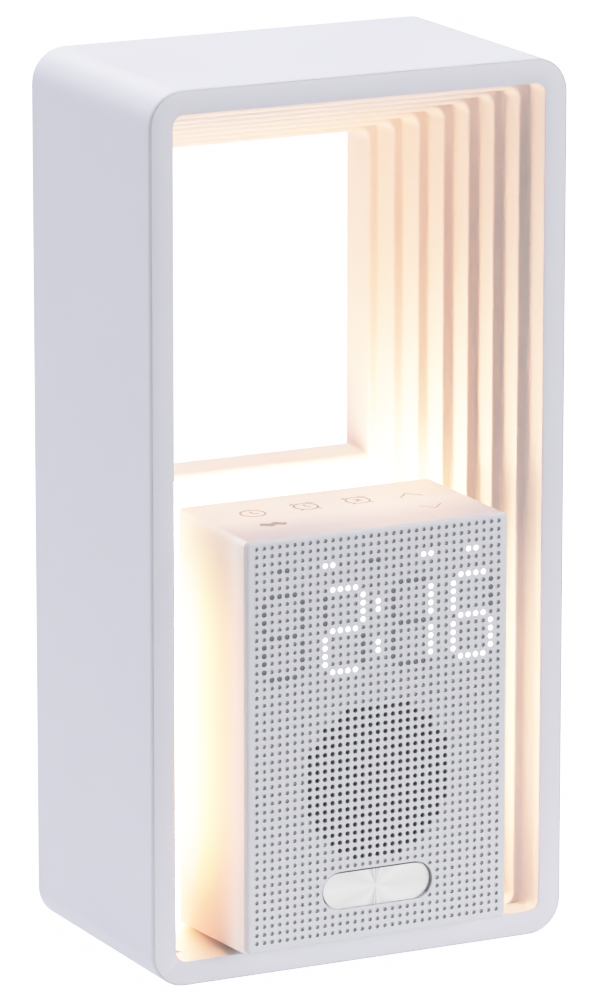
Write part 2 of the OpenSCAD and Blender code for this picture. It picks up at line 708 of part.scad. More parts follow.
// Flat ribbon from the display board to the main board
module display_ribbon() color([0.9, 0.9, 0.92]) placed() {
    xprism(-28, -18) polygon([[y_seam + 5.9, 91.6], [2, 91.6], [2, 86], [10, 86], [10, 91.6],
        [16.4, 91.6], [16.4, 91.9], [9.7, 91.9], [9.7, 86.3], [2.3, 86.3], [2.3, 91.9],
        [y_seam + 5.9, 91.9]]);
}

module rubber_feet() color([0.3, 0.3, 0.31]) placed() {
    for (x = [-50, 50]) for (y = [11, frame_d - 12]) zcyl(x, y, foot_r, -foot_h, 0.8);
}

outer_sleeve();
stepped_liner();
rear_cover();
rear_cover_screws();
light_diffuser();
light_tray();
lamp_board();
lamp_leds();
lamp_board_screws();
clock_case();
front_grille();
display_mask();
display_board();
display_leds();
display_screws();
snooze_button();
button_springs();
switch_plunger();
tact_switch();
button_board();
button_board_screws();
acoustic_cloth();
speaker_gasket();
speaker_frame();
speaker_surround();
speaker_cone();
speaker_spider();
speaker_top_plate();
speaker_magnet();
speaker_yoke();
speaker_screws();
main_board();
board_components();
board_screws();
coin_cell_holder();
coin_cell();
touch_board();
touch_pads();
mounting_plinth();
plinth_screws();
dc_jack();
dc_jack_pin();
power_lead();
lamp_lead();
speaker_lead();
display_ribbon();
rubber_feet();
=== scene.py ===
import bpy
import bmesh
import json
import math
from mathutils import Vector, Matrix
from mathutils.geometry import tessellate_polygon


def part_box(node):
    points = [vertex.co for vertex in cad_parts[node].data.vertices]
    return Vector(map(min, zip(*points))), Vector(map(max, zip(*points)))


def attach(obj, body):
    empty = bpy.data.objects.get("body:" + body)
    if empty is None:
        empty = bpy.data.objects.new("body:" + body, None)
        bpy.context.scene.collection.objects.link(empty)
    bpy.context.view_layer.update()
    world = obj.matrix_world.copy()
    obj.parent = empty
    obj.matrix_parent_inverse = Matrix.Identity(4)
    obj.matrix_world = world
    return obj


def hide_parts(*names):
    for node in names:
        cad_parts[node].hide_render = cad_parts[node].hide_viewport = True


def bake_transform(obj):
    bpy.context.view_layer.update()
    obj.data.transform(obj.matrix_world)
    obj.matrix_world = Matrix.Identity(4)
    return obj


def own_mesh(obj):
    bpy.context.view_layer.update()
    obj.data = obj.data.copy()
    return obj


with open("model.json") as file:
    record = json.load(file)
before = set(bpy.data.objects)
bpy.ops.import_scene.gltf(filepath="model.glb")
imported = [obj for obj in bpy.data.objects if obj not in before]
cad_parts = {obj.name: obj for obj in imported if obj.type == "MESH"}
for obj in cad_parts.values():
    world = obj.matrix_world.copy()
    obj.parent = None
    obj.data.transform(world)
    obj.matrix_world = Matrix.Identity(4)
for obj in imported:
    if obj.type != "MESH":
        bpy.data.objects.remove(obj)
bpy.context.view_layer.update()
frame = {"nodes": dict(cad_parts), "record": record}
NODE = frame["nodes"]

# ------------------------------------------------------------------ sizes, mm
# The frame's own coordinates: its front face at y 0 and its underside at z 0.
FY, FZ = -33.15, 0.8
W2, H, D = 65.2, 256.8, 77.4
RIM, WALL, STEPS = 7.2, 1.8, 7
STEP_X, STEP_Z, STEP_D, R_IN = 3.3, 3.22, 9.0, 3.3
SILL, CORNER = 131.8, 10.1
CW2, TOP, LOW = 41.2, 129.8, 10.2
Y_FACE, Y_SEAM = -11.1, -9.1
PITCH = 2.385
Z_ROW0 = TOP - 2.22
Y_LAMP = STEPS * STEP_D


def P(x, y, z):
    return Vector((x, y + FY, z + FZ)) * 0.001


def open_x(j):
    return W2 - RIM - STEP_X * j


def open_z(j):
    return H - RIM - STEP_Z * j


def row_z(k):
    return Z_ROW0 - k * PITCH


# ------------------------------------------------------------------ mesh helpers


def arc(cx, cz, r, a0, a1, n):
    out = []
    for i in range(n + 1):
        a = math.radians(a0 + (a1 - a0) * i / n)
        out.append((cx + r * math.cos(a), cz + r * math.sin(a)))
    return out


def rrect(hx, z0, z1, rb, rt, n=10):
    """Rounded rectangle, counter-clockwise seen from the front, 4 (n + 1) points."""
    return (
        arc(hx - rb, z0 + rb, rb, -90, 0, n)
        + arc(hx - rt, z1 - rt, rt, 0, 90, n)
        + arc(-hx + rt, z1 - rt, rt, 90, 180, n)
        + arc(-hx + rb, z0 + rb, rb, 180, 270, n)
    )


def pill(half, r, zc, n=20):
    return arc(half - r, zc, r, -90, 90, n) + arc(-half + r, zc, r, 90, 270, n)


class Build:
    """Collects vertices and faces in millimetres and makes one mesh."""

    def __init__(self):
        self.v, self.f, self.m = [], [], []

    def pt(self, x, y, z):
        self.v.append(P(x, y, z))
        return len(self.v) - 1

    def ring(self, pts, y):
        """Points of an outline at depth y; y may be a list with one depth for each point."""
        if isinstance(y, (int, float)):
            return [self.pt(x, y, z) for x, z in pts]
        return [self.pt(p[0], d, p[1]) for p, d in zip(pts, y)]

    def face(self, idx, mat=0):
        self.f.append(idx)
        self.m.append(mat)

    def bridge(self, a, b, mat=0):
        n = len(a)
        for i in range(n):
            k = (i + 1) % n
            q = [self.v[t] for t in (a[i], a[k], b[k], b[i])]
            area = ((q[2] - q[0]).cross(q[3] - q[1])).length / 2
            if area > 1e-11:
                self.face((a[i], a[k], b[k], b[i]), mat)

    def chain(self, rings, mat=0):
        for a, b in zip(rings[:-1], rings[1:]):
            self.bridge(a, b, mat)

    def flat(self, loops, mat=0):
        """A flat region between the first loop and the holes in it."""
        lines = [[Vector((self.v[i].x, self.v[i].z, 0.0)) * 1000 for i in lp] for lp in loops]
        index = [i for lp in loops for i in lp]
        for t in tessellate_polygon(lines):
            self.face(tuple(index[k] for k in t), mat)

    def make(self, name, mats, body="clock", sharp=32, normals=True):
        me = bpy.data.meshes.new(name)
        me.from_pydata([tuple(v) for v in self.v], [], self.f)
        for i, poly in enumerate(me.polygons):
            poly.material_index = self.m[i]
        bm = bmesh.new()
        bm.from_mesh(me)
        bmesh.ops.remove_doubles(bm, verts=bm.verts, dist=2e-7)
        bad = [f for f in bm.faces if f.calc_area() < 1e-13]
        if bad:
            bmesh.ops.delete(bm, geom=bad, context="FACES_ONLY")
        if normals:
            bmesh.ops.recalc_face_normals(bm, faces=bm.faces)
        bm.to_mesh(me)
        bm.free()
        for m in mats:
            me.materials.append(m)
        for poly in me.polygons:
            poly.use_smooth = True
        me.set_sharp_from_angle(angle=math.radians(sharp))
        ob = bpy.data.objects.new(name, me)
        bpy.context.scene.collection.objects.link(ob)
        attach(ob, body)
        return ob


def bevel(node, width, segments=3, angle=40):
    """Rounds the sharp edges of a shown CAD node."""
    ob = NODE[node]
    mod = ob.modifiers.new("soft_edges", "BEVEL")
    mod.width = width * 0.001
    mod.segments = segments
    mod.limit_method = "ANGLE"
    mod.angle_limit = math.radians(angle)
    mod.use_clamp_overlap = True
    mod.harden_normals = False
    return mod


# ------------------------------------------------------------------ materials


def shader(name):
    m = bpy.data.materials.new(name)
    m.use_nodes = True
    nt = m.node_tree
    nt.nodes.clear()
    out = nt.nodes.new("ShaderNodeOutputMaterial")
    b = nt.nodes.new("ShaderNodeBsdfPrincipled")
    nt.links.new(b.outputs["BSDF"], out.inputs["Surface"])
    return m, nt, b


def noise(nt, scale, detail=4.0, rough=0.55):
    tc = nt.nodes.new("ShaderNodeTexCoord")
    n = nt.nodes.new("ShaderNodeTexNoise")
    n.inputs["Scale"].default_value = scale
    n.inputs["Detail"].default_value = detail
    n.inputs["Roughness"].default_value = rough
    nt.links.new(tc.outputs["Object"], n.inputs["Vector"])
    return n


def ramp(nt, source, stops):
    r = nt.nodes.new("ShaderNodeValToRGB")
    e = r.color_ramp.elements
    while len(e) > 1:
        e.remove(e[-1])
    e[0].position, e[0].color = stops[0][0], (*stops[0][1], 1)
    for pos, col in stops[1:]:
        n = e.new(pos)
        n.color = (*col, 1)
    nt.links.new(source, r.inputs["Fac"])
    return r


def shade(c, k):
    return tuple(max(0.0, min(1.0, v * k)) for v in c)


def spread(nt, source, lo, hi):
    r = nt.nodes.new("ShaderNodeMapRange")
    r.inputs["From Min"].default_value = 0.3
    r.inputs["From Max"].default_value = 0.7
    r.inputs["To Min"].default_value = lo
    r.inputs["To Max"].default_value = hi
    nt.links.new(source, r.inputs["Value"])
    return r


def bumped(nt, b, height, strength, distance):
    bp = nt.nodes.new("ShaderNodeBump")
    bp.inputs["Strength"].default_value = strength
    bp.inputs["Distance"].default_value = distance
    nt.links.new(height, bp.inputs["Height"])
    nt.links.new(bp.outputs["Normal"], b.inputs["Normal"])


def plastic(name, color, rough=0.5, grain=2600.0, relief=0.12, vary=0.012, specular=0.5):
    """Moulded plastic: a faint cloud in the colour, a varying sheen and a fine eroded grain."""
    m, nt, b = shader(name)
    cloud = noise(nt, 22.0, 3.0)
    r = ramp(nt, cloud.outputs["Fac"], [(0.3, shade(color, 1 - vary)), (0.7, shade(color, 1 + vary))])
    nt.links.new(r.outputs["Color"], b.inputs["Base Color"])
    g = noise(nt, grain, 5.0)
    s = spread(nt, cloud.outputs["Fac"], rough - 0.04, rough + 0.04)
    nt.links.new(s.outputs["Result"], b.inputs["Roughness"])
    b.inputs["Specular IOR Level"].default_value = specular
    bumped(nt, b, g.outputs["Fac"], relief, 0.00004)
    return m


def metal(name, color, rough=0.3, scratch=900.0, vary=0.05):
    m, nt, b = shader(name)
    g = noise(nt, scratch, 6.0, 0.7)
    r = ramp(nt, g.outputs["Fac"], [(0.3, shade(color, 1 - vary)), (0.7, shade(color, 1 + vary))])
    nt.links.new(r.outputs["Color"], b.inputs["Base Color"])
    s = spread(nt, g.outputs["Fac"], rough - 0.07, rough + 0.07)
    nt.links.new(s.outputs["Result"], b.inputs["Roughness"])
    b.inputs["Metallic"].default_value = 1.0
    bumped(nt, b, g.outputs["Fac"], 0.08, 0.00003)
    return m


def glowing(name, base, glow, strength, lo=0.96):
    """A lit diffusing surface with a slightly uneven glow."""
    m, nt, b = shader(name)
    g = noise(nt, 30.0, 2.0)
    r = ramp(nt, g.outputs["Fac"], [(0.3, shade(glow, lo)), (0.7, glow)])
    nt.links.new(r.outputs["Color"], b.inputs["Emission Color"])
    c = ramp(nt, g.outputs["Fac"], [(0.3, shade(base, 0.97)), (0.7, base)])
    nt.links.new(c.outputs["Color"], b.inputs["Base Color"])
    b.inputs["Emission Strength"].default_value = strength
    b.inputs["Roughness"].default_value = 0.55
    return m


def board(name, color):
    """Circuit board: solder mask with faint tracks."""
    m, nt, b = shader(name)
    tc = nt.nodes.new("ShaderNodeTexCoord")
    br = nt.nodes.new("ShaderNodeTexBrick")
    br.inputs["Scale"].default_value = 260.0
    br.inputs["Mortar Size"].default_value = 0.03
    br.inputs["Color1"].default_value = (*shade(color, 0.9), 1)
    br.inputs["Color2"].default_value = (*shade(color, 1.05), 1)
    br.inputs["Mortar"].default_value = (*shade(color, 1.5), 1)
    nt.links.new(tc.outputs["Object"], br.inputs["Vector"])
    nt.links.new(br.outputs["Color"], b.inputs["Base Color"])
    b.inputs["Roughness"].default_value = 0.35
    return m


def woven(name, color):
    m, nt, b = shader(name)
    tc = nt.nodes.new("ShaderNodeTexCoord")
    w = nt.nodes.new("ShaderNodeTexWave")
    w.wave_type = "BANDS"
    w.bands_direction = "DIAGONAL"
    w.inputs["Scale"].default_value = 1500.0
    w.inputs["Distortion"].default_value = 1.5
    nt.links.new(tc.outputs["Object"], w.inputs["Vector"])
    r = ramp(nt, w.outputs["Fac"], [(0.2, shade(color, 0.6)), (0.8, color)])
    nt.links.new(r.outputs["Color"], b.inputs["Base Color"])
    b.inputs["Roughness"].default_value = 0.9
    bumped(nt, b, w.outputs["Fac"], 0.4, 0.00005)
    return m


WHITE = (0.80, 0.795, 0.80)
M = {
    # shell, rim and liner: the frame's plastic with a tone of its own on each group of faces, partly painted light
    # and shade set to how each group is lit
    "shell": plastic("mat_shell", (0.680, 0.685, 0.792), 0.48),
    "rim": plastic("mat_rim", (0.607, 0.604, 0.676), 0.48),
    "liner": plastic("mat_liner", (0.752, 0.717, 0.712), 0.50),
    "cover": plastic("mat_cover", (0.672, 0.678, 0.770), 0.50),
    "case": plastic("mat_case", (0.955, 0.945, 0.940), 0.50),
    "grille": plastic("mat_grille", (0.589, 0.595, 0.637), 0.46),
    # painted shade: the deep walls of the sound holes and the key slot's round ends
    "grille_dark": plastic("mat_grille_dark", (0.31, 0.31, 0.315), 0.6),
    # painted shade: the dimples' floors, a little darker than the plate
    "hole": plastic("mat_hole", (0.56, 0.56, 0.59), 0.60),
    "tray_white": plastic("mat_tray", (0.88, 0.88, 0.86), 0.6),
    "mask_black": plastic("mat_mask", (0.02, 0.02, 0.022), 0.7),
    "switch_black": plastic("mat_black", (0.025, 0.025, 0.028), 0.42),
    "switch_grey": plastic("mat_switch", (0.12, 0.12, 0.13), 0.45),
    "component_black": plastic("mat_component", (0.035, 0.035, 0.038), 0.4),
    "plinth_plastic": plastic("mat_plinth", (0.10, 0.10, 0.105), 0.6),
    "rubber_black": plastic("mat_rubber", (0.02, 0.02, 0.02), 0.8, 1800.0, 0.3),
    "feet_rubber": plastic("mat_feet", (0.10, 0.10, 0.105), 0.85, 1500.0, 0.35),
    "cone_black": plastic("mat_cone", (0.03, 0.03, 0.032), 0.75, 1200.0, 0.3),
    "lead_black": plastic("mat_lead_black", (0.02, 0.02, 0.02), 0.5),
    "lead_white": plastic("mat_lead_white", (0.75, 0.75, 0.75), 0.5),
    "lead_red": plastic("mat_lead_red", (0.45, 0.02, 0.015), 0.5),
    "ribbon_grey": plastic("mat_ribbon", (0.55, 0.55, 0.58), 0.5),
    "led_white": plastic("mat_led_white", (0.85, 0.87, 0.9), 0.2),
    "led_warm": glowing("mat_led_warm", (1.0, 0.8, 0.4), (1.0, 0.72, 0.38), 4.0),
    "lamp_board": plastic("mat_lamp_board", (0.86, 0.86, 0.84), 0.35),
    "circuit_board": board("mat_board", (0.03, 0.16, 0.07)),
    "cloth_black": woven("mat_cloth", (0.14, 0.14, 0.145)),
    "spider_cloth": woven("mat_spider", (0.55, 0.38, 0.16)),
    "screw_steel": metal("mat_screw", (0.55, 0.55, 0.57), 0.32),
    "spring_steel": metal("mat_spring", (0.6, 0.6, 0.62), 0.25),
    "basket_steel": plastic("mat_basket", (0.06, 0.06, 0.065), 0.4),
    "pole_steel": metal("mat_pole", (0.6, 0.6, 0.62), 0.3),
    "magnet": plastic("mat_magnet", (0.05, 0.05, 0.055), 0.55),
    "cell_steel": metal("mat_cell", (0.7, 0.7, 0.71), 0.22),
    "copper": metal("mat_copper", (0.78, 0.42, 0.22), 0.3),
    "contact_metal": metal("mat_contact", (0.80, 0.64, 0.32), 0.25),
    "diffuser": glowing("mat_diffuser", (0.9, 0.85, 0.75), (1.0, 0.506, 0.275), 30.3),
}


def graded(m, axis, start, end, low, high, both_ways=False):
    """Lets a material's emission strength go from low to high along an axis, in mm of the frame."""
    nt = m.node_tree
    b = next(n for n in nt.nodes if n.type == "BSDF_PRINCIPLED")
    tc = nt.nodes.new("ShaderNodeTexCoord")
    sep = nt.nodes.new("ShaderNodeSeparateXYZ")
    nt.links.new(tc.outputs["Object"], sep.inputs["Vector"])
    value = sep.outputs[axis]
    if both_ways:
        ab = nt.nodes.new("ShaderNodeMath")
        ab.operation = "ABSOLUTE"
        nt.links.new(value, ab.inputs[0])
        value = ab.outputs[0]
    mr = nt.nodes.new("ShaderNodeMapRange")
    mr.interpolation_type = "SMOOTHSTEP"
    mr.inputs["From Min"].default_value = start * 0.001
    mr.inputs["From Max"].default_value = end * 0.001
    mr.inputs["To Min"].default_value = low
    mr.inputs["To Max"].default_value = high
    nt.links.new(value, mr.inputs["Value"])
    nt.links.new(mr.outputs["Result"], b.inputs["Emission Strength"])
    return b


# the panel is lit from its side edges
graded(M["diffuser"], "X", 16.0, 34.0, 30.3, 35.2, True)


def lit_case(m):
    """Painted light on the clock unit: a painted glow on its sides, strongest towards the back, and painted shade on
    its top, which pales to the back.
    """
    nt = m.node_tree
    b = next(n for n in nt.nodes if n.type == "BSDF_PRINCIPLED")
    tc = nt.nodes.new("ShaderNodeTexCoord")
    sep = nt.nodes.new("ShaderNodeSeparateXYZ")
    nt.links.new(tc.outputs["Object"], sep.inputs["Vector"])

    def part(source, start, end, low=0.0, high=1.0, smooth=True):
        mr = nt.nodes.new("ShaderNodeMapRange")
        mr.interpolation_type = "SMOOTHSTEP" if smooth else "LINEAR"
        mr.inputs["From Min"].default_value = start * 0.001
        mr.inputs["From Max"].default_value = end * 0.001
        mr.inputs["To Min"].default_value = low
        mr.inputs["To Max"].default_value = high
        nt.links.new(source, mr.inputs["Value"])
        return mr.outputs["Result"]

    def times(a, c):
        mu = nt.nodes.new("ShaderNodeMath")
        mu.operation = "MULTIPLY"
        nt.links.new(a, mu.inputs[0])
        nt.links.new(c, mu.inputs[1])
        return mu.outputs[0]

    ab = nt.nodes.new("ShaderNodeMath")
    ab.operation = "ABSOLUTE"
    nt.links.new(sep.outputs["X"], ab.inputs[0])
    # painted glow: the side walls emit light, strongest between 50 and 90 mm up
    wall = part(ab.outputs[0], 40.9, 41.15, 0.0, 1.2)
    hump = times(part(sep.outputs["Z"], 12.0, 50.0), part(sep.outputs["Z"], 90.0, 127.0, 1.0, 0.0))
    nt.links.new(times(wall, hump), b.inputs["Emission Strength"])
    depth = part(sep.outputs["Y"], -11.0 + FY, 33.0 + FY, smooth=False)
    # painted glow colour along the depth: none at the front, orange in the middle, pale near the back
    painted_glow = [
        (0.03, (0.05, 0.00, 0.00)),
        (0.14, (0.30, 0.01, 0.00)),
        (0.25, (0.74, 0.08, 0.00)),
        (0.43, (0.90, 0.25, 0.04)),
        (0.54, (0.95, 0.52, 0.06)),
        (0.67, (1.00, 0.84, 0.16)),
        (0.80, (1.00, 0.98, 0.70)),
    ]
    r = ramp(nt, depth, painted_glow)
    nt.links.new(r.outputs["Color"], b.inputs["Emission Color"])
    # top face: painted shade, darker towards the front and paling to the back
    shadow = ramp(nt, depth, [(0.05, (0.62, 0.61, 0.67)), (0.20, (0.68, 0.66, 0.71)), (0.52, (1.0, 0.96, 0.94))])
    mx = nt.nodes.new("ShaderNodeMixRGB")
    mx.blend_type = "MULTIPLY"
    base = b.inputs["Base Color"].links[0].from_socket
    nt.links.new(part(sep.outputs["Z"], TOP - 0.5 + FZ, TOP - 0.05 + FZ), mx.inputs["Fac"])
    nt.links.new(base, mx.inputs["Color1"])
    nt.links.new(shadow.outputs["Color"], mx.inputs["Color2"])
    # side walls: painted shade makes the front edge darker and paler, and a painted warm tint deepens the orange low
    # down at the back
    side = part(ab.outputs[0], 40.9, 41.15)
    front = ramp(nt, depth, [(0.0, (0.82, 0.835, 0.85)), (0.17, (1.0, 1.0, 1.0))])
    m1 = nt.nodes.new("ShaderNodeMixRGB")
    m1.blend_type = "MULTIPLY"
    nt.links.new(side, m1.inputs["Fac"])
    nt.links.new(mx.outputs["Color"], m1.inputs["Color1"])
    nt.links.new(front.outputs["Color"], m1.inputs["Color2"])
    m2 = nt.nodes.new("ShaderNodeMixRGB")
    m2.blend_type = "MULTIPLY"
    # painted warm light: the sides are tinted pink-orange low down and towards the back
    low = times(part(sep.outputs["Z"], 22.0, 52.0, 1.0, 0.0), part(sep.outputs["Y"], -11.0 + FY, 24.0 + FY, smooth=False))
    nt.links.new(times(side, low), m2.inputs["Fac"])
    nt.links.new(m1.outputs["Color"], m2.inputs["Color1"])
    m2.inputs["Color2"].default_value = (1.0, 0.66, 0.70, 1)
    nt.links.new(m2.outputs["Color"], b.inputs["Base Color"])


lit_case(M["case"])
# painted glow: the liner's deeper steps, 20 to 60 mm back, emit a faint warm light near the lamp
graded(M["liner"], "Y", 20.0 + FY, 60.0 + FY, 0.0, 1.0).inputs["Emission Color"].default_value = (0.262, 0.0715, 0.0175, 1)


def shaded_reveal(m):
    """The window's reveal lies in the sill's shade low down: its base colour deepens there."""
    nt = m.node_tree
    b = next(n for n in nt.nodes if n.type == "BSDF_PRINCIPLED")
    tc = nt.nodes.new("ShaderNodeTexCoord")
    sep = nt.nodes.new("ShaderNodeSeparateXYZ")
    nt.links.new(tc.outputs["Object"], sep.inputs["Vector"])
    value = None
    for axis, start, end, low, high in (
        ("Y", 63.4 + FY, 65.4 + FY, 0.0, 1.0),
        ("Z", SILL + FZ + 0.2, SILL + FZ + 1.0, 0.0, 1.0),
        ("Z", SILL + FZ + 4.0, SILL + FZ + 30.0, 1.0, 0.0),
    ):
        mr = nt.nodes.new("ShaderNodeMapRange")
        mr.interpolation_type = "SMOOTHSTEP"
        mr.inputs["From Min"].default_value = start * 0.001
        mr.inputs["From Max"].default_value = end * 0.001
        mr.inputs["To Min"].default_value = low
        mr.inputs["To Max"].default_value = high
        nt.links.new(sep.outputs[axis], mr.inputs["Value"])
        if value is None:
            value = mr.outputs["Result"]
            continue
        mu = nt.nodes.new("ShaderNodeMath")
        mu.operation = "MULTIPLY"
        nt.links.new(value, mu.inputs[0])
        nt.links.new(mr.outputs["Result"], mu.inputs[1])
        value = mu.outputs[0]
    mx = nt.nodes.new("ShaderNodeMixRGB")
    mx.blend_type = "MULTIPLY"
    base = b.inputs["Base Color"].links[0].from_socket
    nt.links.new(value, mx.inputs["Fac"])
    nt.links.new(base, mx.inputs["Color1"])
    mx.inputs["Color2"].default_value = (0.70, 0.76, 0.90, 1)
    nt.links.new(mx.outputs["Color"], b.inputs["Base Color"])


shaded_reveal(M["liner"])


def spun_metal_painted_streaks():
    m, nt, b = shader("mat_button")
    tc = nt.nodes.new("ShaderNodeTexCoord")
    sep = nt.nodes.new("ShaderNodeSeparateXYZ")
    nt.links.new(tc.outputs["Object"], sep.inputs["Vector"])
    up = nt.nodes.new("ShaderNodeMath")
    up.operation = "SUBTRACT"
    up.inputs[1].default_value = (row_z(43) + FZ) * 0.001
    nt.links.new(sep.outputs["Z"], up.inputs[0])
    an = nt.nodes.new("ShaderNodeMath")
    an.operation = "ARCTAN2"
    nt.links.new(up.outputs[0], an.inputs[0])
    nt.links.new(sep.outputs["X"], an.inputs[1])
    tu = nt.nodes.new("ShaderNodeMapRange")
    tu.inputs["From Min"].default_value = -math.pi
    tu.inputs["From Max"].default_value = math.pi
    tu.inputs["To Min"].default_value = 0.0
    tu.inputs["To Max"].default_value = 1.0
    nt.links.new(an.outputs[0], tu.inputs["Value"])
    # painted reflection: light and dark streaks round the key's centre, with narrow dark streaks straight up and
    # down, are painted into its colour
    hi, mid, lo, dk = (0.86,) * 3, (0.76,) * 3, (0.57,) * 3, (0.43,) * 3
    stops = [
        (0.00, hi),
        (0.06, mid),
        (0.16, hi),
        (0.225, lo),
        (0.240, hi),
        (0.252, dk),
        (0.262, hi),
        (0.30, mid),
        (0.42, hi),
        (0.50, mid),
        (0.58, hi),
        (0.66, mid),
        (0.705, hi),
        (0.722, lo),
        (0.738, hi),
        (0.750, dk),
        (0.762, hi),
        (0.79, lo),
        (0.84, hi),
        (0.93, mid),
        (1.00, hi),
    ]
    r = ramp(nt, tu.outputs["Result"], stops)
    # fine turning marks round the same centre
    wv = nt.nodes.new("ShaderNodeTexWave")
    wv.wave_type = "RINGS"
    wv.rings_direction = "Y"
    wv.inputs["Scale"].default_value = 900.0
    wv.inputs["Distortion"].default_value = 0.4
    mp = nt.nodes.new("ShaderNodeMapping")
    mp.inputs["Location"].default_value = (0.0, 0.0, -(row_z(43) + FZ) * 0.001)
    nt.links.new(tc.outputs["Object"], mp.inputs["Vector"])
    nt.links.new(mp.outputs["Vector"], wv.inputs["Vector"])
    mx = nt.nodes.new("ShaderNodeMixRGB")
    mx.blend_type = "MULTIPLY"
    mx.inputs["Fac"].default_value = 0.12
    nt.links.new(r.outputs["Color"], mx.inputs["Color1"])
    nt.links.new(wv.outputs["Color"], mx.inputs["Color2"])
    # painted shadow: the rounded edge is painted darker above and on the left, for the shade cast by the slot's edge
    span = nt.nodes.new("ShaderNodeMath")
    span.operation = "ABSOLUTE"
    nt.links.new(sep.outputs["X"], span.inputs[0])
    over = nt.nodes.new("ShaderNodeMath")
    over.operation = "SUBTRACT"
    over.use_clamp = True
    over.inputs[1].default_value = 0.01175
    nt.links.new(span.outputs[0], over.inputs[0])
    out = nt.nodes.new("ShaderNodeCombineXYZ")
    nt.links.new(over.outputs[0], out.inputs["X"])
    nt.links.new(up.outputs[0], out.inputs["Y"])
    far = nt.nodes.new("ShaderNodeVectorMath")
    far.operation = "LENGTH"
    nt.links.new(out.outputs["Vector"], far.inputs[0])
    edge = nt.nodes.new("ShaderNodeMapRange")
    edge.inputs["From Min"].default_value = 0.00492
    edge.inputs["From Max"].default_value = 0.00508
    nt.links.new(far.outputs["Value"], edge.inputs["Value"])
    above = nt.nodes.new("ShaderNodeMapRange")
    above.inputs["From Min"].default_value = -0.0050
    above.inputs["From Max"].default_value = -0.0030
    nt.links.new(up.outputs[0], above.inputs["Value"])
    left = nt.nodes.new("ShaderNodeMapRange")
    left.inputs["From Min"].default_value = 0.0125
    left.inputs["From Max"].default_value = 0.0150
    left.inputs["To Min"].default_value = 1.0
    left.inputs["To Max"].default_value = 0.0
    nt.links.new(sep.outputs["X"], left.inputs["Value"])
    both = nt.nodes.new("ShaderNodeMath")
    both.operation = "MULTIPLY"
    nt.links.new(above.outputs["Result"], both.inputs[0])
    nt.links.new(left.outputs["Result"], both.inputs[1])
    painted_shadow_line = nt.nodes.new("ShaderNodeMath")
    painted_shadow_line.operation = "MULTIPLY"
    nt.links.new(edge.outputs["Result"], painted_shadow_line.inputs[0])
    nt.links.new(both.outputs[0], painted_shadow_line.inputs[1])
    dark = nt.nodes.new("ShaderNodeMixRGB")
    dark.inputs["Color2"].default_value = (0.08, 0.08, 0.083, 1)
    nt.links.new(painted_shadow_line.outputs[0], dark.inputs["Fac"])
    nt.links.new(mx.outputs["Color"], dark.inputs["Color1"])
    nt.links.new(dark.outputs["Color"], b.inputs["Base Color"])
    b.inputs["Metallic"].default_value = 0.85
    b.inputs["Roughness"].default_value = 0.38
    return m


M["button_metal"] = spun_metal_painted_streaks()

slot_of = {s["node"]: s["material_slot"] for s in frame["record"]["subparts"]}
for name, ob in NODE.items():
    mat = M[slot_of[name]]
    if len(ob.material_slots) == 0:
        ob.data.materials.append(mat)
    for s in ob.material_slots:
        s.material = mat

# ------------------------------------------------------------------ frame's liner


def edge(r, n=4):
    """Setback and depth of the points of a rounded edge, from the face to the side."""
    out = []
    for i in range(n + 1):
        t = math.radians(90.0 * i / n)
        out.append((r * (1 - math.sin(t)), r * (1 - math.cos(t))))
    return out


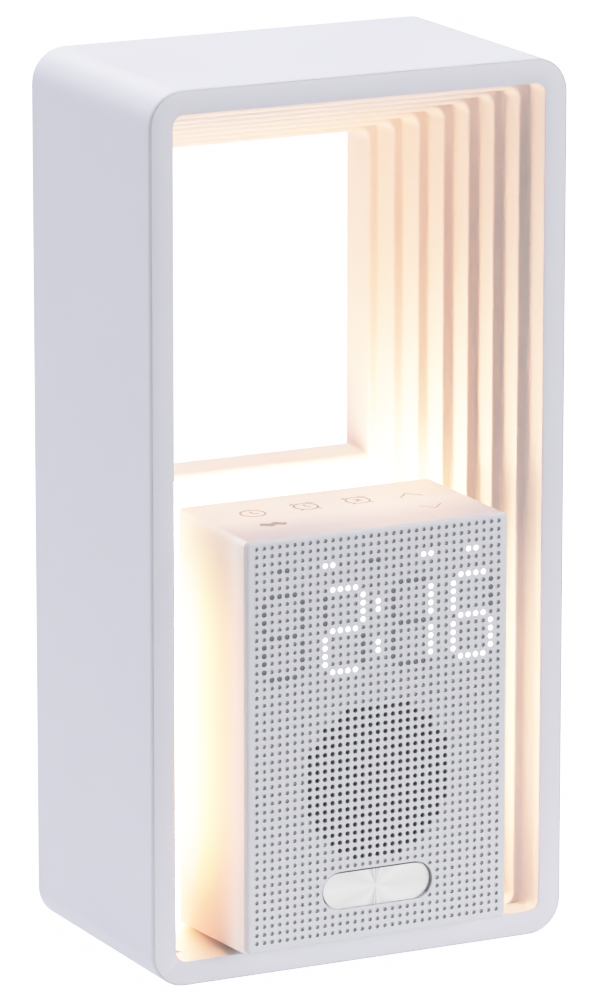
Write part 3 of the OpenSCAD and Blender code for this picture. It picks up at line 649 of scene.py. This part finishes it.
def make_liner():
    b = Build()
    n = 10

    def outer(i):
        return rrect(W2 - i, i, H - i, CORNER - i, CORNER - i)

    def op(j, gx=0.0, gz=None):
        gz = gx if gz is None else gz
        r = R_IN + (gx + gz) / 2
        return rrect(open_x(j) + gx, RIM, open_z(j) + gz, R_IN + gx, r)

    def back(j):
        return rrect(open_x(j) + WALL, RIM - WALL, open_z(j) + WALL, R_IN + WALL, R_IN + WALL)

    def win(gx, gz, gb):
        return rrect(open_x(STEPS) + gx, SILL - gb, open_z(STEPS) + gz, 1 + gx, R_IN + (gx + gz) / 2)

    # how far each point of an outline belongs to its top or to its bottom
    high, low = [], []
    for i in range(4 * (n + 1)):
        q, k = divmod(i, n + 1)
        high.append(k / n if q == 1 else 1 - k / n if q == 2 else 0.0)
        low.append(1 - k / n if q == 0 else k / n if q == 3 else 0.0)

    rho_side, rho_top, rho_sill = 0.65, 2.1, 1.7
    fillet, draft = 0.85, 0.25

    def turn(k, m):
        """Setback and depth on a unit quarter round, from the face to the side."""
        t = math.radians(90.0 * k / m)
        return 1 - math.sin(t), 1 - math.cos(t)

    # the rim's outer edge has the parting line to the sleeve in its rounding
    rings = [
        b.ring(outer(2.1), 1.6),
        b.ring(outer(0.015), 1.6),
        b.ring(outer(0.0), 1.28),
        b.ring(outer(0.0), 0.62),
        b.ring(outer(0.05), 0.42),
        b.ring(outer(0.16), 0.24),
        b.ring(outer(0.30), 0.13),
        b.ring(outer(0.42), 0.27),
        b.ring(outer(0.54), 0.06),
        b.ring(outer(0.75), 0.0),
    ]
    for g, y in edge(0.28):
        rings.append(b.ring(op(0, g), y))
    front = len(rings)
    for j in range(STEPS - 1):
        y = (j + 1) * STEP_D
        for k in range(5):
            t = math.radians(90.0 * k / 4)
            rings.append(b.ring(op(j, -draft - fillet * (1 - math.cos(t))), y - fillet * (1 - math.sin(t))))
        for k in range(6):
            a, c = turn(k, 5)
            ys = [y + c * (rho_side + (rho_top - rho_side) * w) for w in high]
            rings.append(b.ring(op(j + 1, rho_side * a, rho_top * a), ys))
    for k in range(5):
        t = math.radians(90.0 * k / 4)
        rings.append(b.ring(op(STEPS - 1, -draft - fillet * (1 - math.cos(t))), Y_LAMP - fillet * (1 - math.sin(t))))
    b.chain(rings[:front], 1)
    b.chain(rings[front - 1 :])
    # last riser, with the window above and the lamp's opening below
    wrings = []
    for k in range(7):
        a, c = turn(k, 6)
        ys = [
            Y_LAMP + c * (rho_side + (rho_top - rho_side) * w + (rho_sill - rho_side) * v) for w, v in zip(high, low)
        ]
        wrings.append(b.ring(win(rho_side * a, rho_top * a, rho_sill * a), ys))
    wrings.append(b.ring(win(0.0, 0.0, 0.0), D - 0.3))
    wrings.append(b.ring(win(0.3, 0.3, 0.3), D))
    wrings.append(b.ring(win(WALL, WALL, WALL), D))
    wrings.append(b.ring(win(WALL, WALL, 1.79), Y_LAMP + WALL))
    b.chain(wrings)
    lamp_front = b.ring(rrect(37.2, 8.1, SILL - WALL, 2.0, 0.6, 4), Y_LAMP)
    lamp_back = b.ring(rrect(37.2, 8.1, SILL - WALL, 2.0, 0.6, 4), Y_LAMP + WALL)
    b.bridge(lamp_front, lamp_back)
    b.flat([rings[-1], wrings[0], lamp_front])
    backs = [b.ring(outer(2.1), 1.6)]
    for j in range(STEPS):
        backs.append(b.ring(back(j), 1.9 if j == 0 else j * STEP_D + WALL))
        backs.append(b.ring(back(j), (j + 1) * STEP_D + WALL))
    b.chain(backs)
    b.flat([backs[-1], wrings[-1], lamp_back])
    ob = b.make("liner_shell", [M["liner"], M["rim"]])
    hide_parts("stepped_liner")
    return ob


make_liner()

# ------------------------------------------------------------------ front grille

DIGITS = [-15, -7, 2, 10]
led = {}
for s in DIGITS:
    for r in (6, 11, 16):
        for c in range(1, 5):
            led[(s + c, r)] = 0
    for r in (7, 8, 9, 10, 12, 13, 14, 15):
        for c in (0, 5):
            led[(s + c, r)] = 0
for r in (8, 9, 13, 14):
    led[(0, r)] = 1
for c, on in ((-13, 0), (-12, 0), (-7, 1), (-6, 1), (-1, 0), (0, 0), (6, 1), (7, 1), (12, 1), (13, 1)):
    led[(c, 3)] = on
# time shown: 2:16, the first digit is off
SEG = {"2": "abged", "1": "bc", "6": "afgedc"}
for s, ch in zip(DIGITS[1:], "216"):
    for q in SEG[ch]:
        if q in "agd":
            for c in range(1, 5):
                led[(s + c, {"a": 6, "g": 11, "d": 16}[q])] = 1
        else:
            rows = (7, 8, 9, 10) if q in "bf" else (12, 13, 14, 15)
            for r in rows:
                led[(s + (5 if q in "bc" else 0), r)] = 1
sound = {
    (c, k)
    for k in range(21, 40)
    for c in range(-9, 10)
    if abs(c) <= math.floor(math.sqrt(95.7 - (k - 29.8) ** 2))
}
assert len(sound) == 299
PILL_HALF, PILL_R, Z_PILL = 17.25, 5.5, row_z(43)


def near_pill(c, k):
    x, z = abs(c * PITCH), row_z(k) - Z_PILL
    dx = max(0.0, x - (PILL_HALF - PILL_R))
    return math.hypot(dx, z) < PILL_R + 0.3 + 0.75


def circle(cx, cz, r, n):
    return [
        (cx + r * math.cos(math.radians(45 + 360.0 * i / n)), cz + r * math.sin(math.radians(45 + 360.0 * i / n)))
        for i in range(n)
    ]


R_DIMPLE, R_WINDOW, R_SOUND = 0.60, 0.77, 0.68


def make_grille():
    b = Build()

    def outline(i):
        return rrect(CW2 - i, LOW + i, TOP - i, max(1.7 - i, 0.35), max(1.9 - i, 0.35), 6)

    r_edge = 0.95
    rings = [b.ring(outline(2.2), Y_SEAM), b.ring(outline(0.12), Y_SEAM), b.ring(outline(0), Y_SEAM - 0.12)]
    for g, y in reversed(edge(r_edge, 6)):
        rings.append(b.ring(outline(g), Y_FACE + y))
    b.chain(rings)
    cols, rows = range(-16, 17), range(0, 49)
    h = PITCH / 2
    corner = {}

    def cpt(c, k):
        """Vertex at the lower left corner of the cell in column c and row k."""
        if (c, k) not in corner:
            corner[(c, k)] = b.pt(c * PITCH - h, Y_FACE, row_z(k) - h)
        return corner[(c, k)]

    def hole(c, k, front):
        """The wall and floor behind a hole whose rim is the ring front."""
        n = len(front)
        if (c, k) in led:
            r, depth, mat = R_WINDOW, 0.30, 0
        elif (c, k) in sound:
            r, depth, mat = R_SOUND, Y_SEAM - Y_FACE, 0
        else:
            r, depth, mat = R_DIMPLE, 0.75, 0
        rim = b.ring(circle(c * PITCH, row_z(k), r, n), Y_FACE + 0.05)
        end = b.ring(circle(c * PITCH, row_z(k), r * 0.97, n), Y_FACE + depth)
        b.bridge(front, rim, mat)
        if (c, k) in sound:
            # the drilled wall keeps the plate's colour for half a millimetre and is painted dark behind that, for
            # the shade deep in the hole
            mid = b.ring(circle(c * PITCH, row_z(k), r * 0.99, n), Y_FACE + 0.55)
            b.bridge(rim, mid, 0)
            b.bridge(mid, end, 2)
        else:
            b.bridge(rim, end, mat)
        # the dimples' floors take the darker painted-shade grey
        if (c, k) not in led and (c, k) not in sound:
            b.face(tuple(end), 1)

    def rim_of(c, k):
        if (c, k) in led:
            return circle(c * PITCH, row_z(k), R_WINDOW + 0.05, 16)
        if (c, k) in sound:
            return circle(c * PITCH, row_z(k), R_SOUND + 0.05, 16)
        return circle(c * PITCH, row_z(k), R_DIMPLE + 0.05, 12)

    block_c, block_k = range(-8, 9), range(40, 47)
    for k in rows:
        for c in cols:
            if c in block_c and k in block_k:
                continue
            front = b.ring(rim_of(c, k), Y_FACE)
            n = len(front)
            q = n // 4
            ll, lr, ur, ul = cpt(c, k), cpt(c + 1, k), cpt(c + 1, k - 1), cpt(c, k - 1)
            top = [front[i] for i in range(0, q + 1)]
            left = [front[i] for i in range(q, 2 * q + 1)]
            bot = [front[i] for i in range(2 * q, 3 * q + 1)]
            right = [front[i % n] for i in range(3 * q, 4 * q + 1)]
            b.face((ur, ul, *reversed(top)), 0)
            b.face((ul, ll, *reversed(left)), 0)
            b.face((ll, lr, *reversed(bot)), 0)
            b.face((lr, ur, *reversed(right)), 0)
            hole(c, k, front)
    # the block of cells round the key's slot
    loop = []
    c0, c1, k0, k1 = -8, 9, 39, 46
    for c in range(c0, c1):
        loop.append(cpt(c, k1))
    for k in range(k1, k0, -1):
        loop.append(cpt(c1, k))
    for c in range(c1, c0, -1):
        loop.append(cpt(c, k0))
    for k in range(k0, k1):
        loop.append(cpt(c0, k))
    slot_pts = []
    for x, z in pill(PILL_HALF + 0.16, PILL_R + 0.16, Z_PILL):
        # the gap closes to a hairline below, where the wall catches the light
        below = max(0.0, (Z_PILL - z) / (PILL_R + 0.16))
        slot_pts.append((x, z + 0.12 * below**3))
    slot_front = b.ring(pill(PILL_HALF + 0.30, PILL_R + 0.30, Z_PILL), Y_FACE)
    slot_rim = b.ring(slot_pts, Y_FACE + 0.16)
    slot_back = b.ring(slot_pts, Y_SEAM)
    b.bridge(slot_front, slot_rim)
    m = len(slot_rim)
    for i in range(m):
        k = (i + 1) % m
        # painted shade: the round ends are painted dark, for the shade on the slot's end walls
        b.face((slot_rim[i], slot_rim[k], slot_back[k], slot_back[i]), 2 if 5 <= i < 20 or 26 <= i < 36 else 0)
    loops = [loop, slot_front]
    for k in block_k:
        for c in block_c:
            if near_pill(c, k):
                continue
            front = b.ring(rim_of(c, k), Y_FACE)
            loops.append(front)
            hole(c, k, front)
    b.flat(loops)
    # the plain margin round the grid
    border = [cpt(c, 48) for c in range(-16, 17)]
    border += [cpt(17, k) for k in range(48, -1, -1)]
    border += [cpt(c, -1) for c in range(17, -16, -1)]
    border += [cpt(-16, k) for k in range(-1, 48)]
    b.flat([rings[-1], border])
    ob = b.make("grille_plate", [M["grille"], M["hole"], M["grille_dark"]], normals=False)
    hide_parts("front_grille")
    # normals: everything on the front looks forward, walls look into their holes
    return ob


make_grille()


def make_dots():
    """Light guides of the display, 0.3 mm under the face of the grille."""
    on = Build()
    off = Build()
    for (c, k), lit in sorted(led.items()):
        b = on if lit else off
        y = Y_FACE + (0.10 if lit else 0.24)
        big = R_WINDOW * 0.96
        rim = b.ring(circle(c * PITCH, row_z(k), big, 16), y + 0.05)
        dome = b.ring(circle(c * PITCH, row_z(k), big * 0.8, 16), y)
        tail = b.ring(circle(c * PITCH, row_z(k), big, 16), y + 1.2)
        b.face(tuple(dome), 0)
        b.bridge(dome, rim)
        b.bridge(rim, tail)
        b.face(tuple(tail), 0)
    lit_mat = glowing("mat_dot_lit", (0.95, 0.96, 1.0), (1.0, 1.0, 1.0), 3.2)
    off_mat = plastic("mat_dot_unlit", (0.165, 0.165, 0.205), 0.35)
    a = on.make("display_dots_lit", [lit_mat])
    z = off.make("display_dots_unlit", [off_mat])


make_dots()

# ------------------------------------------------------------------ touch marks


def make_marks():
    b = Build()
    z0, z1 = TOP + 0.005, TOP + 0.03

    def slab(poly):
        lo = [b.pt(x, y, z0) for x, y in poly]
        hi = [b.pt(x, y, z1) for x, y in poly]
        b.face(tuple(hi))
        n = len(poly)
        for i in range(n):
            k = (i + 1) % n
            b.face((lo[i], lo[k], hi[k], hi[i]))

    def stroke(p, q, w=0.62):
        d = Vector((q[0] - p[0], q[1] - p[1]))
        d.normalize()
        nx, ny = -d.y * w / 2, d.x * w / 2
        slab([(p[0] + nx, p[1] + ny), (p[0] - nx, p[1] - ny), (q[0] - nx, q[1] - ny), (q[0] + nx, q[1] + ny)])

    def loop(cx, cy, r, a0=0, a1=360, w=0.62, n=28):
        for i in range(n):
            t0 = math.radians(a0 + (a1 - a0) * i / n)
            t1 = math.radians(a0 + (a1 - a0) * (i + 1) / n)
            ri, ro = r - w / 2, r + w / 2
            slab(
                [
                    (cx + ri * math.cos(t0), cy + ri * math.sin(t0)),
                    (cx + ro * math.cos(t0), cy + ro * math.sin(t0)),
                    (cx + ro * math.cos(t1), cy + ro * math.sin(t1)),
                    (cx + ri * math.cos(t1), cy + ri * math.sin(t1)),
                ]
            )

    # dial
    loop(-24.4, 19.1, 3.6)
    stroke((-24.4, 19.1), (-24.4, 21.3))
    stroke((-24.4, 19.1), (-22.9, 18.2))
    # two bells, on legs
    for x, y in ((-7.2, 20.0), (9.3, 20.0)):
        loop(x, y, 3.5)
        loop(x, y, 4.6, 35, 65, n=5)
        loop(x, y, 4.6, 115, 145, n=5)
        stroke((x - 2.2, y - 2.6), (x - 3.2, y - 3.9))
        stroke((x + 2.2, y - 2.6), (x + 3.2, y - 3.9))
    stroke((-7.2, 20.0), (-7.2, 22.0))
    stroke((-7.2, 20.0), (-5.9, 19.3))
    stroke((8.2, 20.9), (10.4, 20.9))
    stroke((10.4, 20.9), (8.2, 19.1))
    stroke((8.2, 19.1), (10.4, 19.1))
    # up and down
    stroke((21.6, 17.2), (25.2, 21.4), 0.5)
    stroke((25.2, 21.4), (28.9, 17.2), 0.5)
    stroke((21.6, 6.4), (25.2, 2.4), 0.5)
    stroke((25.2, 2.4), (28.9, 6.4), 0.5)
    # a short wave
    for i in range(20):
        t0, t1 = i / 20, (i + 1) / 20
        w0, w1 = ((1.25 + 0.55 * abs(math.sin(2 * math.pi * t))) * math.sqrt(max(0.05, 1 - (2 * t - 1) ** 4)) for t in (t0, t1))
        y0, y1 = (5.3 + 0.55 * math.sin(4 * math.pi * t) for t in (t0, t1))
        x0, x1 = -28.9 + 8.2 * t0, -28.9 + 8.2 * t1
        slab([(x0, y0 - w0), (x1, y1 - w1), (x1, y1 + w1), (x0, y0 + w0)])
    ob = b.make("touch_marks", [plastic("mat_marks", (0.36, 0.35, 0.355), 0.6)])


make_marks()

# ------------------------------------------------------------------ softened CAD pieces

bevel("outer_sleeve", 0.35, 3, 60)
bevel("clock_case", 0.9, 4, 50)
bevel("rear_cover", 0.3, 2, 60)
bevel("rubber_feet", 0.35, 3, 60)
bevel("snooze_button", 0.30, 3, 60)
bevel("light_diffuser", 0.3, 2, 60)
bevel("mounting_plinth", 0.2, 2, 60)
bevel("dc_jack", 0.15, 2, 60)

# ------------------------------------------------------------------ the key's springs and the speaker's suspension, remade as separate pieces

springs = bpy.data.objects.new("key_springs", NODE["button_springs"].data.copy())
bpy.context.scene.collection.objects.link(springs)
springs.data.materials.clear()
springs.data.materials.append(M[slot_of["button_springs"]])
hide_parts("button_springs")
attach(springs, "clock")
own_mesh(springs)


def flexing_ring(node, name, profile, sectors=12, cuts=8):
    """The node remade as sectors of a ring round its centre; profile is (radius, depth) in mm."""
    lo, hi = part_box(node)
    cx, cz = (lo[0] + hi[0]) / 2, (lo[2] + hi[2]) / 2
    nearest = min(d for _, d in profile)
    count = len(profile)
    half = math.pi / sectors
    for k in range(sectors):
        mid = 2 * half * k
        bm = bmesh.new()
        rows = []
        for j in range(cuts + 1):
            a = mid - half + 2 * half * j / cuts
            rows.append(
                [
                    bm.verts.new(
                        (
                            cx + r * 0.001 * math.cos(a),
                            lo[1] + (d - nearest) * 0.001,
                            cz + r * 0.001 * math.sin(a),
                        )
                    )
                    for r, d in profile
                ]
            )
        for j in range(cuts):
            for i in range(count):
                n = (i + 1) % count
                bm.faces.new((rows[j][i], rows[j][n], rows[j + 1][n], rows[j + 1][i]))
        bmesh.ops.recalc_face_normals(bm, faces=bm.faces)
        me = bpy.data.meshes.new(f"{name}_{k + 1}")
        bm.to_mesh(me)
        bm.free()
        me.materials.append(M[slot_of[node]])
        ob = bpy.data.objects.new(me.name, me)
        bpy.context.scene.collection.objects.link(ob)
        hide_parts(node)
        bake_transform(ob)


flexing_ring(
    "speaker_spider",
    "spider_part",
    [
        (7.5, 10.0), (8.4, 10.0), (9.2, 9.6), (10.0, 9.6), (10.8, 10.0), (11.6, 10.0),
        (12.4, 9.6), (13.2, 9.6), (14.0, 10.0), (15.4, 10.0), (15.4, 10.3), (13.9, 10.3),
        (13.1, 9.9), (12.5, 9.9), (11.7, 10.3), (10.7, 10.3), (9.9, 9.9), (9.3, 9.9),
        (8.5, 10.3), (7.5, 10.3),
    ],
)
flexing_ring(
    "speaker_surround",
    "surround_part",
    [(17.0, 2.2), (17.0, 1.9)]
    + [
        (18.9 + 1.4 * math.cos(math.radians(a)), 1.9 - 1.3 * math.sin(math.radians(a)))
        for a in range(180, -1, -15)
    ]
    + [(20.6, 1.9), (20.6, 2.2)]
    + [
        (18.9 + 1.1 * math.cos(math.radians(a)), 2.2 - 1.3 * math.sin(math.radians(a)))
        for a in range(0, 181, 15)
    ],
)

# ------------------------------------------------------------------ floor, light, camera

me = bpy.data.meshes.new("floor")
S = 40.0
me.from_pydata([(-S, -S, 0), (S, -S, 0), (S, S, 0), (-S, S, 0)], [], [(0, 1, 2, 3)])
floor = bpy.data.objects.new("floor", me)
bpy.context.scene.collection.objects.link(floor)
fm, nt, b = shader("mat_floor")
g = noise(nt, 3.0)
r = ramp(nt, g.outputs["Fac"], [(0.3, (0.34, 0.34, 0.34)), (0.7, (0.36, 0.36, 0.36))])
nt.links.new(r.outputs["Color"], b.inputs["Base Color"])
e = ramp(nt, g.outputs["Fac"], [(0.3, (0.98, 0.985, 1.0)), (0.7, (1.0, 1.0, 1.0))])
nt.links.new(e.outputs["Color"], b.inputs["Emission Color"])
b.inputs["Roughness"].default_value = 0.9
b.inputs["Specular IOR Level"].default_value = 0.1


def along_y(nt, output, y0, y1, low, high):
    """A value that goes smoothly from low to high between two depths."""
    tc = nt.nodes.new("ShaderNodeTexCoord")
    sep = nt.nodes.new("ShaderNodeSeparateXYZ")
    nt.links.new(tc.outputs[output], sep.inputs["Vector"])
    mr = nt.nodes.new("ShaderNodeMapRange")
    mr.interpolation_type = "SMOOTHSTEP"
    mr.inputs["From Min"].default_value = y0
    mr.inputs["From Max"].default_value = y1
    mr.inputs["To Min"].default_value = low
    mr.inputs["To Max"].default_value = high
    nt.links.new(sep.outputs["Y"], mr.inputs["Value"])
    mr.name = "along_y"
    return mr


def seen(nt, strength, others):
    """Strength for what the camera sees directly, others for the light that it sheds."""
    lp = nt.nodes.new("ShaderNodeLightPath")
    mx = nt.nodes.new("ShaderNodeMix")
    mx.data_type = "FLOAT"
    mx.inputs["B"].default_value = strength
    nt.links.new(lp.outputs["Is Camera Ray"], mx.inputs["Factor"])
    nt.links.new(others, mx.inputs["A"])
    return mx.outputs["Result"]


# a sheet of white paper that sheds less light in front of the object than round and behind it
FLOOR_FRONT, FLOOR_NEAR = 0.0, 0.63
fall = along_y(nt, "Object", -0.24, -0.06, FLOOR_FRONT, FLOOR_NEAR)
nt.links.new(seen(nt, 2.4, fall.outputs["Result"]), b.inputs["Emission Strength"])
me.materials.append(fm)

scene = bpy.context.scene
world = bpy.data.worlds.new("world")
scene.world = world
world.use_nodes = True
bg = world.node_tree.nodes["Background"]
bg.inputs["Color"].default_value = (0.98, 0.985, 1.0, 1)
WORLD_FRONT, WORLD_BACK = 0.0, 0.374
fall = along_y(world.node_tree, "Generated", -0.45, 0.45, WORLD_FRONT, WORLD_BACK)
world.node_tree.links.new(seen(world.node_tree, 2.4, fall.outputs["Result"]), bg.inputs["Strength"])


def area(name, azimuth, elevation, distance, size, power, color=(1, 1, 1)):
    """A soft box seen from the object at an azimuth (0 in front, 90 on the right) and elevation."""
    li = bpy.data.lights.new(name, "AREA")
    li.shape = "SQUARE"
    li.size = size
    li.energy = power
    li.color = color
    ob = bpy.data.objects.new(name, li)
    scene.collection.objects.link(ob)
    target = Vector((0.0, 0.0, 0.13))
    a, h = math.radians(azimuth), math.radians(elevation)
    d = Vector((math.sin(a) * math.cos(h), -math.cos(a) * math.cos(h), math.sin(h)))
    ob.location = target + d * distance
    ob.rotation_mode = "QUATERNION"
    ob.rotation_quaternion = (-d).to_track_quat("-Z", "Y")
    return ob


WHITE_LIGHT = (1.0, 1.0, 1.0)
SOFT = [
    ("soft_top", 0, 89, 2.2, 1.0, 37.6, WHITE_LIGHT),
    ("soft_front_right", 30, 10, 2.2, 1.0, 24.0, WHITE_LIGHT),
    ("soft_back", 180, 50, 2.2, 1.0, 20.4, WHITE_LIGHT),
    ("soft_right", 60, 10, 2.2, 1.0, 12.0, WHITE_LIGHT),
    ("soft_left", -90, 10, 2.2, 1.0, 11.9, WHITE_LIGHT),
    ("soft_front_left", -30, 10, 2.2, 1.0, 7.4, WHITE_LIGHT),
    ("soft_high_right", 45, 40, 2.2, 1.0, 3.0, WHITE_LIGHT),
]
for row in SOFT:
    area(*row)

scene.view_settings.view_transform = "Standard"
scene.view_settings.look = "None"
scene.view_settings.exposure = 0.0
scene.view_settings.gamma = 1.0


def shoulder(knee, top=3.0, n=40):
    """Lets bright tones run softly into white, as a camera does."""
    scene.view_settings.use_curve_mapping = True
    cm = scene.view_settings.curve_mapping
    cm.black_level = (0.0, 0.0, 0.0)
    cm.white_level = (top, top, top)
    points = cm.curves[3].points
    points[0].location = (0.0, 0.0)
    points[-1].location = (1.0, 1.0)
    for i in range(n):
        x = knee + (top - knee) * (i / n) ** 1.5
        y = knee + (1 - knee) * (1 - math.exp(-(x - knee) / (1 - knee)))
        points.new(x / top, y)
    for q in points:
        q.handle_type = "VECTOR"
    cm.update()


shoulder(0.55)

cam = bpy.data.cameras.new("camera")
cam.sensor_width = 36.0
cam.lens = 260.957
cam.clip_start, cam.clip_end = 0.05, 200.0
co = bpy.data.objects.new("camera", cam)
scene.collection.objects.link(co)
yaw, pitch, roll = (math.radians(a) for a in (26.66038, 13.64214, 0.02639))
fwd = Vector((math.sin(yaw) * math.cos(pitch), math.cos(yaw) * math.cos(pitch), -math.sin(pitch)))
right = Vector((math.cos(yaw), -math.sin(yaw), 0.0))
up = right.cross(fwd)
right, up = right * math.cos(roll) + up * math.sin(roll), up * math.cos(roll) - right * math.sin(roll)
rot = Matrix((right, up, -fwd)).transposed()
co.matrix_world = Matrix.Translation(Vector((-0.904060, -1.795786, 0.616797))) @ rot.to_4x4()
scene.camera = co
